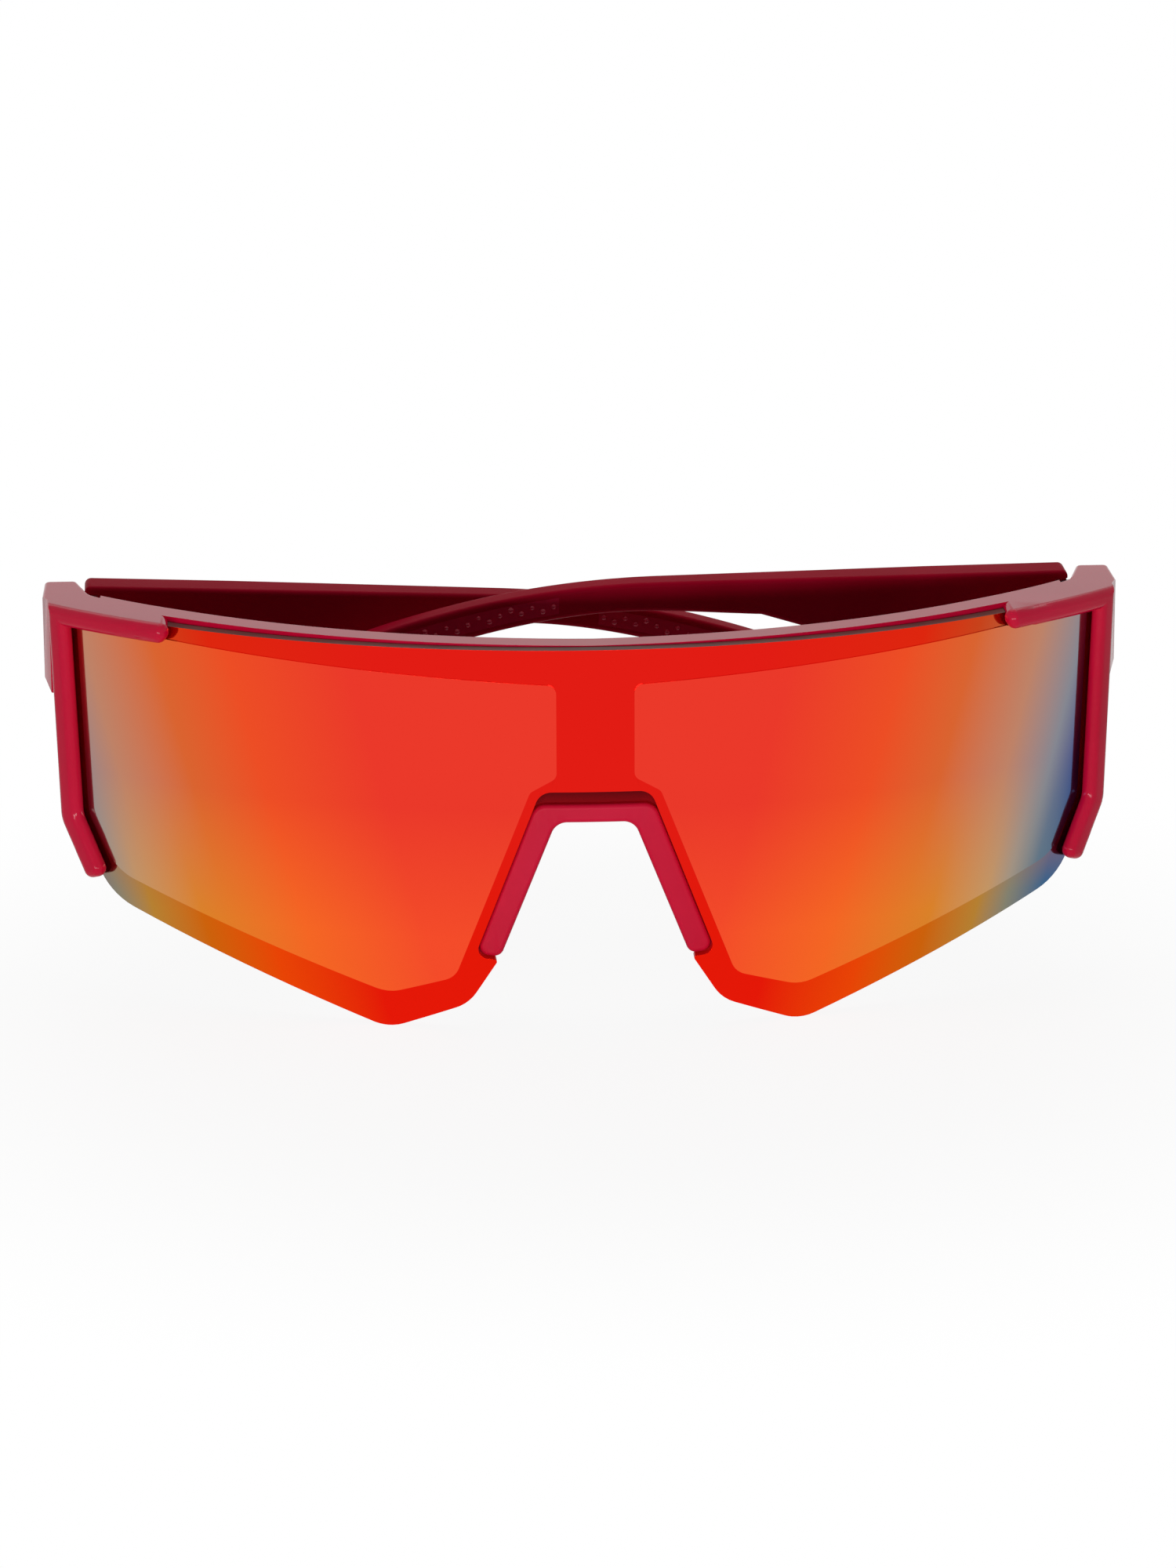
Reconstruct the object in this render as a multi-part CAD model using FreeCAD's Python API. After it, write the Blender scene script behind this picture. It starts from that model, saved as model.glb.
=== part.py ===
"""Shield sunglasses with a one-piece wrap lens, shown folded.

Lengths are in millimetres. X points to the wearer's left, Y to the back of the head, Z up.
The origin is the nose saddle, the middle of the arch that sits on the bridge of the nose.
Left and right are the wearer's own, so the left temple is on the +X side.
Each temple is drawn open, pointing straight back from its hinge, and is then turned to its rest.
"""
import FreeCAD
import Part
import math
import os
from FreeCAD import Vector

# Lens, a piece of a cylinder whose axis stands upright behind the face
LENS_RADIUS = 103.0
LENS_THICKNESS = 2.0
LENS_AHEAD = 5.0
LENS_TOP = 24.0
LENS_HALF_WIDTH = 71.4
LENS_SIDE_TAPER = 1.0
LENS_SIDE_BOTTOM = -4.6
LENS_LOWER_INSET = 5.8
LENS_LOWER_Z = -15.45
LENS_CHEEK_X = 27.9
LENS_CHEEK_Z = -29.2
LENS_INNER_X = 17.1
LENS_INNER_Z = -25.2
LENS_TOP_ROUND = 2.0
LENS_SIDE_ROUND = 6.0
LENS_LOWER_ROUND = 8.0
LENS_INNER_ROUND = 5.6

# Raised eye panels on the front of the lens
PANEL_STEP = 0.2
PANEL_STRIP_HALF = 5.2
PANEL_TOP_MARGIN = 4.8
PANEL_RISE = 3.7
PANEL_LOWER_MARGIN = 4.6
PANEL_NOSE_MARGIN = 1.5
PANEL_SIDE_MARGIN = 2.0
PANEL_ROUND = 1.2

# Cut-out in the lens for the nose piece
NOSE_TOP = 4.5
NOSE_TOP_HALF = 7.4
NOSE_FOOT_X = 16.3
NOSE_FOOT_Z = -18.6
NOSE_LEDGE = 3.2
NOSE_LEDGE_DROP = 0.4
NOSE_TOP_ROUND = 2.2
NOSE_FOOT_ROUND = 1.3
NOSE_LEDGE_ROUND = 0.3

# Nose piece, one soft arch with a groove for the lens edge and two wings
NOSE_FIT = 0.15
NOSE_ARCH = 2.5
NOSE_LEG = 3.9
NOSE_FLANGE = 1.6
NOSE_FLANGE_THICKNESS = 1.3
NOSE_RECESS = 0.7
NOSE_ROUND = 0.6
FLANGE_SETBACK = 0.4
FLANGE_DROP = 0.4
WING_TOP = -2.5
WING_LIFT = 0.8
WING_DEPTH = 8.0
WING_FLARE = 2.6
WING_THICKNESS = 2.6

# Front frame: brow bar, lens hooks and end pieces
TOP_WALL = 0.7
SLOT_FIT = 0.15
LIP_GAP = 0.5
LIP_THICKNESS = 2.0
LIP_HEIGHT = 2.8
LIP_WIDTH = 3.1
LIP_REACH = 15.8
LIP_SLANT = 1.8
HOOK_WALL = 1.8
HOOK_LENGTH = 8.9
HOOK_DROP = 0.8
HOOK_BEND_OUTSIDE = 5.0
HOOK_BEND_INSIDE = 3.5
LIP_ROUND = 1.2
SEAT_GAP = 0.2
BACK_LIP = 1.8
BROW_DEPTH = 3.8
BROW_HEIGHT = 4.2
BROW_DIP = 0.6
BROW_DIP_INSET = 1.0
BROW_ROUND = 0.7
BROW_INSET = 5.2
END_FLARE = 2.8
END_WIDTH = 4.4
END_DEPTH = 12.24
END_STRAIGHT = 8.0
END_NECK_INSET = 2.2
END_NECK_ROUND = 6.0
END_CORNER = 0.8
END_HEIGHT = 9.8
END_DROP = 3.7
END_ROUND = 0.5

# Hinges
HINGE_INSET = 0.8
HINGE_BEHIND = 0.2
PIN_RADIUS = 0.7
PIN_FIT = 0.08
KNUCKLE_RADIUS = 1.7
KNUCKLE_DROP = 8.8
LOWER_KNUCKLE = 1.6
MIDDLE_KNUCKLE = 2.2
UPPER_KNUCKLE = 1.7
KNUCKLE_PLAY = 0.12
BARREL_ROOM = 0.3
LEAF_THICKNESS = 1.2
LEAF_LENGTH = 8.0
LEAF_COVER = 0.4
LEAF_ROOT = 0.8
NECK_LENGTH = 3.0
PLATE_SPREAD = 1.4
HEAD_RADIUS = 1.25
HEAD_HEIGHT = 0.6
HEAD_SLOT = 0.35

# Temples, measured along the arm from the hinge or back from the tip
TIP_SHORT = 19.0
TEMPLE_THICKNESS = 4.5
ARM_THICKNESS = 3.6
TIP_THICKNESS = 3.0
INNER_FACE = 0.5
TAPER_START = 20.0
TAPER_BLEND = 60.0
BUTT_GAP = 0.1
TOP_DROP = 1.1
TOP_CANT_DEGREES = 6.0
BLOCK_HEIGHT = 8.4
BLOCK_LENGTH = 33.0
STEP_LENGTH = 10.5
ARM_HEIGHT = 5.1
WAIST_FROM_TIP = 54.0
WAIST_HEIGHT = 4.0
TIP_HEIGHT = 6.6
TEMPLE_ROUND = 0.7
BUTT_ROUND = 0.9
BEND_FROM_TIP = 61.0
BEND_RADIUS = 128.0
HOOK_FROM_TIP = 21.0
HOOK_RADIUS = 120.0

# Soft grips let into the inner faces of the temples
GRIP_LENGTH = 36.0
GRIP_FROM_TIP = 11.0
GRIP_DEPTH = 0.7
GRIP_SHARE = 0.56
NUB_RADIUS = 0.42
NUB_PROUD = 0.3
NUB_COUNT = 24
NUB_MARGIN = 0.15

# Folded temples: the left one leans to the lens, and the right one lies behind it and hangs
# low in the play of its hinge
LEFT_LEAN_DEGREES = 3.2
RIGHT_SAG_DEGREES = 2.6
TIP_CLEARANCE = 0.5

# Derived places
AXIS_Y = LENS_RADIUS - LENS_AHEAD
LENS_LOWER_X = LENS_HALF_WIDTH - LENS_LOWER_INSET
FRAME_TOP = LENS_TOP + TOP_WALL
LIP_START = LENS_HALF_WIDTH - LIP_REACH
HOOK_OUTER = LENS_HALF_WIDTH + HOOK_WALL
BROW_HALF = LENS_HALF_WIDTH - BROW_INSET
END_OUTER = LENS_HALF_WIDTH + END_FLARE
END_INNER = END_OUTER - END_WIDTH
END_REAR = AXIS_Y - math.sqrt(LENS_RADIUS ** 2 - LENS_HALF_WIDTH ** 2) + END_DEPTH
END_NECK_X = END_INNER - END_NECK_INSET
HINGE_X = END_INNER - HINGE_INSET
HINGE_Y = END_REAR + HINGE_BEHIND
KNUCKLE_BOTTOM = FRAME_TOP - KNUCKLE_DROP
TEMPLE_INNER = HINGE_X + INNER_FACE
TEMPLE_LENGTH = 2 * HINGE_X - TIP_SHORT
TEMPLE_TOP = FRAME_TOP - TOP_DROP
WAIST_AT = TEMPLE_LENGTH - WAIST_FROM_TIP
BEND_START = TEMPLE_LENGTH - BEND_FROM_TIP
HOOK_START = TEMPLE_LENGTH - HOOK_FROM_TIP
GRIP_END = TEMPLE_LENGTH - GRIP_FROM_TIP
GRIP_START = GRIP_END - GRIP_LENGTH
LEFT_LEAN = math.radians(LEFT_LEAN_DEGREES)
RIGHT_STEP = TEMPLE_THICKNESS - TIP_SHORT * math.tan(LEFT_LEAN) + TIP_CLEARANCE
RIGHT_LEAN = math.atan(RIGHT_STEP / TEMPLE_LENGTH)
LEFT_FOLD = 90.0 + LEFT_LEAN_DEGREES
RIGHT_FOLD = 90.0 - math.degrees(RIGHT_LEAN)
LENS_BACK = LENS_RADIUS - LENS_THICKNESS
SEAT = LENS_BACK - SEAT_GAP
LIP_BACK = LENS_RADIUS + LIP_GAP
LIP_FRONT = LIP_BACK + LIP_THICKNESS
LOW = -60.0
HIGH = 60.0
FRONT = -30.0
BEHIND = 60.0


def unit(a, b):
    """Direction from a to b as a pair."""
    length = math.hypot(b[0] - a[0], b[1] - a[1])
    return ((b[0] - a[0]) / length, (b[1] - a[1]) / length)


def rounded_edges(corners, place):
    """Closed outline through (u, v, radius) corners, with an arc in each rounded corner."""
    edges = []
    starts = []
    ends = []
    arcs = []
    count = len(corners)
    for i in range(count):
        here = corners[i]
        back = unit(here, corners[i - 1])
        on = unit(here, corners[(i + 1) % count])
        angle = math.acos(max(-1.0, min(1.0, back[0] * on[0] + back[1] * on[1])))
        reach = here[2] / math.tan(angle / 2)
        middle = here[2] / math.sin(angle / 2) - here[2]
        half = unit((0, 0), (back[0] + on[0], back[1] + on[1]))
        starts.append((here[0] + back[0] * reach, here[1] + back[1] * reach))
        ends.append((here[0] + on[0] * reach, here[1] + on[1] * reach))
        arcs.append((here[0] + half[0] * middle, here[1] + half[1] * middle))
    for i in range(count):
        first = place(*starts[i])
        last = place(*ends[i])
        if corners[i][2] > 0:
            edges.append(Part.Arc(first, place(*arcs[i]), last).toShape())
        following = place(*starts[(i + 1) % count])
        if (following - last).Length > 1e-6:
            edges.append(Part.LineSegment(last, following).toShape())
    return edges


def face_xz(corners, grow=0.0):
    """Flat face in the front view, optionally grown outward all round."""
    face = Part.Face(Part.Wire(rounded_edges(corners, lambda u, v: Vector(u, FRONT, v))))
    if grow:
        face = face.makeOffset2D(grow)
    return face


def prism_y(corners, grow=0.0):
    """Outline in the front view carried from front to back."""
    return face_xz(corners, grow).extrude(Vector(0, BEHIND - FRONT, 0))


def prism_z(corners, bottom, top):
    """Outline in the top view carried from bottom to top."""
    wire = Part.Wire(rounded_edges(corners, lambda u, v: Vector(u, v, bottom)))
    return Part.Face(wire).extrude(Vector(0, 0, top - bottom))


def prism_x(corners, start, end):
    """Outline in the side view, given as (y, z), carried from start to end along X."""
    wire = Part.Wire(rounded_edges(corners, lambda u, v: Vector(start, u, v)))
    return Part.Face(wire).extrude(Vector(end - start, 0, 0))


def shell(inner, outer, bottom=LOW, top=HIGH):
    """Upright tube round the lens axis."""
    foot = Vector(0, AXIS_Y, bottom)
    tube = Part.makeCylinder(outer, top - bottom, foot)
    return tube.cut(Part.makeCylinder(inner, top - bottom, foot))


def tube_y(radius, x):
    """Depth of a tube round the lens axis at a distance from the middle."""
    return AXIS_Y - math.sqrt(radius ** 2 - x ** 2)


def post(radius, bottom, top):
    """Upright cylinder on the axis of the left hinge."""
    return Part.makeCylinder(radius, top - bottom, Vector(HINGE_X, HINGE_Y, bottom))


def on_tube(edge, radius):
    """True where an edge lies on the upright tube of a radius round the lens axis."""
    first, last = edge.FirstParameter, edge.LastParameter
    points = [edge.valueAt(first + (last - first) * share) for share in (0.1, 0.5, 0.9)]
    return all(abs(math.hypot(p.x, p.y - AXIS_Y) - radius) < 0.02 for p in points)


def round_rim(shape, tube_radius, rounding):
    """Round every edge of a shape that lies on one tube."""
    return shape.makeFillet(rounding, [e for e in shape.Edges if on_tube(e, tube_radius)])


def edges_at(shape, corner):
    """Front-to-back edges of a shape at a corner of its front view."""
    def here(point):
        return math.hypot(point.x - corner[0], point.z - corner[1]) < 0.01
    return [e for e in shape.Edges if all(here(v.Point) for v in e.Vertexes)]


def round_bend(shape, corner):
    """Round the front-to-back edge of a shape at a (x, z, radius) corner."""
    return shape.makeFillet(corner[2], edges_at(shape, corner))


def middle_of(edge):
    """Point half way along an edge."""
    return edge.valueAt((edge.FirstParameter + edge.LastParameter) / 2)


def mirrored(shape):
    """The same shape on the other side of the face."""
    return shape.mirror(Vector(0, 0, 0), Vector(1, 0, 0))


def both_sides(half):
    """Closed list of corners from the corners of the +X half."""
    return half + [(-x, z, r) for x, z, r in reversed(half)]


def lens_outline():
    """Corners of the whole lens in the front view."""
    return both_sides([
        (LENS_HALF_WIDTH, LENS_TOP, LENS_TOP_ROUND),
        (LENS_HALF_WIDTH - LENS_SIDE_TAPER, LENS_SIDE_BOTTOM, LENS_SIDE_ROUND),
        (LENS_LOWER_X, LENS_LOWER_Z, LENS_LOWER_ROUND),
        (LENS_CHEEK_X, LENS_CHEEK_Z, LENS_SIDE_ROUND),
        (LENS_INNER_X, LENS_INNER_Z, LENS_INNER_ROUND),
        (NOSE_FOOT_X - NOSE_LEDGE, NOSE_FOOT_Z - NOSE_LEDGE_DROP, NOSE_LEDGE_ROUND),
        (NOSE_FOOT_X, NOSE_FOOT_Z, NOSE_FOOT_ROUND),
        (NOSE_TOP_HALF, NOSE_TOP, NOSE_TOP_ROUND),
    ])


def nose_edge_x(z):
    """Half width of the nose cut-out at a height."""
    share = (NOSE_TOP - z) / (NOSE_TOP - NOSE_FOOT_Z)
    return NOSE_TOP_HALF + share * (NOSE_FOOT_X - NOSE_TOP_HALF)


def panel_outline():
    """Corners of the left eye panel in the front view."""
    top = LENS_TOP - PANEL_TOP_MARGIN
    low = LENS_LOWER_Z + PANEL_LOWER_MARGIN * 0.8
    cheek = LENS_CHEEK_Z + PANEL_LOWER_MARGIN * 1.1
    inner = LENS_INNER_Z + PANEL_LOWER_MARGIN * 0.8
    side = LENS_HALF_WIDTH - PANEL_SIDE_MARGIN
    return [
        (PANEL_STRIP_HALF, top, PANEL_ROUND),
        (side, top + PANEL_RISE, PANEL_ROUND),
        (side - LENS_SIDE_TAPER, LENS_SIDE_BOTTOM, LENS_INNER_ROUND),
        (LENS_LOWER_X - PANEL_SIDE_MARGIN / 2, low, LENS_SIDE_ROUND),
        (LENS_CHEEK_X, cheek, LENS_INNER_ROUND),
        (nose_edge_x(inner) + PANEL_NOSE_MARGIN, inner, LENS_INNER_ROUND / 2),
        (nose_edge_x(NOSE_TOP) + PANEL_NOSE_MARGIN * 0.9, NOSE_TOP, PANEL_ROUND),
        (PANEL_STRIP_HALF, NOSE_TOP + PANEL_SIDE_MARGIN, PANEL_ROUND),
    ]


def make_lens():
    """Curved lens with two raised eye panels."""
    body = prism_y(lens_outline()).common(shell(LENS_BACK, LENS_RADIUS))
    root = LENS_RADIUS - LENS_THICKNESS / 2
    panel = prism_y(panel_outline()).common(shell(root, LENS_RADIUS + PANEL_STEP))
    return body.fuse([panel, mirrored(panel)]).removeSplitter()


def hook_outline():
    """Corners of the left C-shaped lens hook in the front view."""
    bend_x = HOOK_OUTER - LENS_SIDE_TAPER
    bend_z = LENS_SIDE_BOTTOM - HOOK_DROP
    run = unit((LENS_HALF_WIDTH - LENS_SIDE_TAPER, LENS_SIDE_BOTTOM), (LENS_LOWER_X, LENS_LOWER_Z))
    tip = (bend_x + run[0] * HOOK_LENGTH, bend_z + run[1] * HOOK_LENGTH)
    under = FRAME_TOP - LIP_HEIGHT
    return [
        (LIP_START, FRAME_TOP, 0.0),
        (HOOK_OUTER, FRAME_TOP, 0.0),
        (bend_x, bend_z, HOOK_BEND_OUTSIDE),
        (tip[0], tip[1], 0.0),
        (tip[0] + run[1] * LIP_WIDTH, tip[1] - run[0] * LIP_WIDTH, 0.0),
        (bend_x - LIP_WIDTH, bend_z + HOOK_DROP, HOOK_BEND_INSIDE),
        (HOOK_OUTER - LIP_WIDTH, under, 0.0),
        (LIP_START + LIP_SLANT, under, 0.0),
    ]


def make_hook():
    """Left lens hook with its two bends, its front edges and the two ends of the C rounded."""
    corners = hook_outline()
    sharp = [(x, z, 0.0) for x, z, _ in corners]
    hook = prism_y(sharp).common(shell(SEAT - BACK_LIP, LIP_FRONT))
    for corner in corners:
        if corner[2]:
            hook = round_bend(hook, corner)
    edges = [e for e in hook.Edges if on_tube(e, LIP_FRONT)]
    for corner in (corners[0], corners[-1], corners[3], corners[4]):
        edges += edges_at(hook, corner)
    return hook.makeFillet(LIP_ROUND, edges)


def end_piece():
    """Left end piece, which carries the hinge behind the hook."""
    under = FRAME_TOP - END_HEIGHT
    brow_back = SEAT - BROW_DEPTH + BROW_ROUND
    neck_y = tube_y(brow_back, END_NECK_X)
    plan = prism_z([
        (HOOK_OUTER, tube_y(LIP_BACK, HOOK_OUTER), 0.0),
        (END_OUTER, END_REAR - END_STRAIGHT, 0.0),
        (END_OUTER, END_REAR, END_CORNER),
        (END_INNER, END_REAR, END_CORNER),
        (END_NECK_X, neck_y, END_NECK_ROUND),
        (LIP_START + LIP_SLANT, tube_y(brow_back, LIP_START + LIP_SLANT), 0.0),
        (BROW_HALF, tube_y(SEAT - SEAT_GAP, BROW_HALF), 0.0),
    ], LOW, HIGH)
    side = prism_x([
        (FRONT, FRAME_TOP, 0.0),
        (BEHIND, FRAME_TOP, 0.0),
        (BEHIND, under, 0.0),
        (END_REAR - END_STRAIGHT / 2, under, END_STRAIGHT / 2),
        (END_REAR - END_DEPTH, under - END_DROP, 0.0),
        (FRONT, under - END_DROP, 0.0),
    ], 0.0, 2 * END_OUTER)
    block = plan.common(side)
    rear = []
    for edge in block.Edges:
        middle = middle_of(edge)
        level = all(abs(v.Point.z - FRAME_TOP) < 1e-6 for v in edge.Vertexes)
        if level and middle.y > neck_y + END_ROUND:
            rear.append(edge)
    return block.makeFillet(END_ROUND, rear)


def make_brow():
    """Brow bar behind the lens top, which dips between the lips and is rounded below."""
    under = FRAME_TOP - BROW_HEIGHT
    dip_half = LIP_START - BROW_DIP_INSET
    outline = both_sides([
        (dip_half, FRAME_TOP, 0.0),
        (BROW_HALF, FRAME_TOP, 0.0),
        (BROW_HALF, under, 0.0),
    ])
    outline.append((0.0, FRAME_TOP - BROW_DIP, 0.0))
    back = SEAT - BROW_DEPTH
    brow = prism_y(outline).common(shell(back, SEAT))
    low = [e for e in brow.Edges if on_tube(e, back) and middle_of(e).z < under + BROW_ROUND]
    return brow.makeFillet(BROW_ROUND, low)


def make_frame(hinge_leaf):
    """Brow bar with a lens hook and an end piece on each side."""
    hook = make_hook()
    end = end_piece()
    brow = make_brow()
    room = barrel_room().fuse(hinge_leaf)
    slot = prism_y(lens_outline(), SLOT_FIT).common(shell(SEAT, LIP_BACK))
    body = brow.fuse([hook, mirrored(hook), end, mirrored(end)])
    return body.cut([slot, room, mirrored(room)]).removeSplitter()


def barrel_room():
    """Space that the left hinge barrel turns in."""
    radius = KNUCKLE_RADIUS + BARREL_ROOM
    return post(radius, KNUCKLE_BOTTOM - BARREL_ROOM, barrel_top() + BARREL_ROOM)


def middle_bottom():
    """Underside of the temple knuckle."""
    return KNUCKLE_BOTTOM + LOWER_KNUCKLE + KNUCKLE_PLAY


def upper_bottom():
    """Underside of the upper frame knuckle."""
    return middle_bottom() + MIDDLE_KNUCKLE + KNUCKLE_PLAY


def knuckle_top():
    """Top of the upper frame knuckle, where the screw head sits."""
    return upper_bottom() + UPPER_KNUCKLE


def barrel_top():
    """Top of the screw head."""
    return knuckle_top() + HEAD_HEIGHT


def make_frame_hinge():
    """Steel leaf in the end piece, with two knuckles."""
    left = HINGE_X + HINGE_INSET + LEAF_COVER
    height = knuckle_top() - KNUCKLE_BOTTOM
    corner = Vector(left, HINGE_Y - LEAF_ROOT - LEAF_LENGTH, KNUCKLE_BOTTOM)
    leaf = Part.makeBox(LEAF_THICKNESS, LEAF_LENGTH, height, corner)
    gap = post(KNUCKLE_RADIUS + BARREL_ROOM, middle_bottom() - KNUCKLE_PLAY, upper_bottom())
    leaf = leaf.cut(gap)
    lower = post(KNUCKLE_RADIUS, KNUCKLE_BOTTOM, KNUCKLE_BOTTOM + LOWER_KNUCKLE)
    upper = post(KNUCKLE_RADIUS, upper_bottom(), knuckle_top())
    bore = post(PIN_RADIUS + PIN_FIT, LOW, HIGH)
    return leaf.fuse([lower, upper]).cut(bore).removeSplitter()


def make_temple_hinge():
    """Steel leaf in the open left temple, with one knuckle."""
    left = HINGE_X + HINGE_INSET + LEAF_COVER
    bottom = middle_bottom()
    root = Vector(left, HINGE_Y + LEAF_ROOT, bottom)
    neck = Part.makeBox(LEAF_THICKNESS, NECK_LENGTH, MIDDLE_KNUCKLE, root)
    plate = Part.makeBox(
        LEAF_THICKNESS, LEAF_LENGTH - NECK_LENGTH, MIDDLE_KNUCKLE + 2 * PLATE_SPREAD,
        Vector(left, HINGE_Y + LEAF_ROOT + NECK_LENGTH, bottom - PLATE_SPREAD),
    )
    ring = post(KNUCKLE_RADIUS, bottom, bottom + MIDDLE_KNUCKLE)
    bore = post(PIN_RADIUS + PIN_FIT, LOW, HIGH)
    return ring.fuse([neck, plate]).cut(bore).removeSplitter()


def make_screw():
    """Slotted hinge screw, head up."""
    shaft = post(PIN_RADIUS, KNUCKLE_BOTTOM, knuckle_top() + HEAD_HEIGHT / 4)
    head = post(HEAD_RADIUS, knuckle_top(), barrel_top())
    corner = Vector(HINGE_X - HEAD_RADIUS, HINGE_Y - HEAD_SLOT / 2, barrel_top() - HEAD_HEIGHT / 2)
    slot = Part.makeBox(2 * HEAD_RADIUS, HEAD_SLOT, HEAD_HEIGHT, corner)
    return shaft.fuse(head).cut(slot).removeSplitter()


def drop(s):
    """How far the top edge of a temple has bent down at a distance from the hinge."""
    long_bend = max(0.0, s - BEND_START) ** 2 / (2 * BEND_RADIUS)
    hook = max(0.0, s - HOOK_START) ** 2 / (2 * HOOK_RADIUS)
    return long_bend + hook


def arm_height(s):
    """Height of the slim part of a temple at a distance from the hinge."""
    if s < WAIST_AT:
        share = (WAIST_AT - s) / (WAIST_AT - BLOCK_LENGTH - STEP_LENGTH)
        return WAIST_HEIGHT + (ARM_HEIGHT - WAIST_HEIGHT) * share ** 1.5
    share = (s - WAIST_AT) / (TEMPLE_LENGTH - WAIST_AT)
    return WAIST_HEIGHT + (TIP_HEIGHT - WAIST_HEIGHT) * share ** 1.5


def curve(points):
    """Smooth edge through a few points."""
    spline = Part.BSplineCurve()
    spline.interpolate(points)
    return spline.toShape()


def side_point(s, z):
    """Point in the plane of the inner face of the open left temple."""
    return Vector(TEMPLE_INNER, HINGE_Y + s, z)


def stations(start, end, count):
    """Evenly spaced distances from start to end."""
    return [start + (end - start) * i / count for i in range(count + 1)]


def temple_side():
    """Side view of the open temple as a face."""
    end = TEMPLE_LENGTH - TIP_HEIGHT / 2
    step_end = BLOCK_LENGTH + STEP_LENGTH
    block = TEMPLE_TOP - BLOCK_HEIGHT
    top_line = [side_point(BUTT_GAP, TEMPLE_TOP), side_point(BEND_START, TEMPLE_TOP)]
    top = [side_point(s, TEMPLE_TOP - drop(s)) for s in stations(BEND_START, end, 7)]
    low = [side_point(s, TEMPLE_TOP - drop(s) - arm_height(s)) for s in stations(step_end, end, 8)]
    slope = math.atan((end - BEND_START) / BEND_RADIUS + (end - HOOK_START) / HOOK_RADIUS)
    middle = (top[-1] + low[-1]) * 0.5
    reach = (top[-1] - low[-1]).Length / 2
    tip = middle + Vector(0, math.cos(slope) * reach, -math.sin(slope) * reach)
    edges = [
        Part.LineSegment(top_line[0], top_line[1]).toShape(),
        curve(top),
        Part.Arc(top[-1], tip, low[-1]).toShape(),
        curve(list(reversed(low))),
        Part.LineSegment(low[0], side_point(BLOCK_LENGTH, block)).toShape(),
        Part.LineSegment(side_point(BLOCK_LENGTH, block), side_point(BUTT_GAP, block)).toShape(),
        Part.LineSegment(side_point(BUTT_GAP, block), top_line[0]).toShape(),
    ]
    return Part.Face(Part.Wire(edges))


def scattered(i, step):
    """Share of 0 to 1 for the i-th of many spread places; each step gives another spread."""
    return (0.5 + i * step) % 1.0


def make_nub(i):
    """One of the scattered nubs of the grip, which differ in size."""
    s = GRIP_START + GRIP_LENGTH * (i + 0.5) / NUB_COUNT
    radius = NUB_RADIUS * (0.7 + 0.4 * scattered(i, 0.37))
    reach = arm_height(s) * GRIP_SHARE / 2 - radius - NUB_MARGIN
    z = TEMPLE_TOP - drop(s) - arm_height(s) / 2 + reach * (2 * scattered(i, 0.618) - 1)
    return Part.makeSphere(radius, side_point(s, z) + Vector(radius - NUB_PROUD, 0, 0))


def make_grip():
    """Soft grip of the open left temple, with nubs scattered on its inner face."""
    upper = []
    lower = []
    for s in stations(GRIP_START, GRIP_END, 6):
        middle = TEMPLE_TOP - drop(s) - arm_height(s) / 2
        half = arm_height(s) * GRIP_SHARE / 2
        upper.append(side_point(s, middle + half))
        lower.append(side_point(s, middle - half))
    edges = [
        curve(upper),
        Part.LineSegment(upper[-1], lower[-1]).toShape(),
        curve(list(reversed(lower))),
        Part.LineSegment(lower[0], upper[0]).toShape(),
    ]
    pad = Part.Face(Part.Wire(edges)).extrude(Vector(GRIP_DEPTH, 0, 0))
    nubs = [make_nub(i) for i in range(NUB_COUNT)]
    return pad, pad.fuse(nubs).removeSplitter()


def across(edge):
    """True for an edge that runs through the thickness of a temple."""
    first, last = edge.Vertexes[0].Point, edge.Vertexes[-1].Point
    return abs(first.y - last.y) < 1e-4 and abs(first.x - last.x) > TIP_THICKNESS / 2


def make_temple(hinge_leaf, grip_pad):
    """Open left temple: a tall hinge block stepping to a slim arm that hooks over the ear."""
    outward = 2 * TEMPLE_THICKNESS
    slab = temple_side().extrude(Vector(outward, 0, outward * math.tan(math.radians(TOP_CANT_DEGREES))))
    plan = prism_z([
        (TEMPLE_INNER - TEMPLE_THICKNESS, HINGE_Y - TEMPLE_THICKNESS, 0.0),
        (TEMPLE_INNER - TEMPLE_THICKNESS, HINGE_Y + TEMPLE_LENGTH + TIP_HEIGHT, 0.0),
        (TEMPLE_INNER + TIP_THICKNESS, HINGE_Y + TEMPLE_LENGTH + TIP_HEIGHT, 0.0),
        (TEMPLE_INNER + ARM_THICKNESS, HINGE_Y + WAIST_AT, TAPER_BLEND),
        (TEMPLE_INNER + TEMPLE_THICKNESS, HINGE_Y + TAPER_START, TAPER_BLEND),
        (TEMPLE_INNER + TEMPLE_THICKNESS, HINGE_Y - TEMPLE_THICKNESS, 0.0),
    ], LOW, HIGH)
    arm = slab.common(plan)
    butt = HINGE_Y + BUTT_GAP
    corners = [e for e in arm.Edges if across(e) and middle_of(e).y < butt + BUTT_ROUND]
    arm = arm.makeFillet(BUTT_ROUND, corners)
    arm = arm.makeFillet(TEMPLE_ROUND, [e for e in arm.Edges if not across(e)])
    return arm.cut([barrel_room(), hinge_leaf, grip_pad]).removeSplitter()


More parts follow.
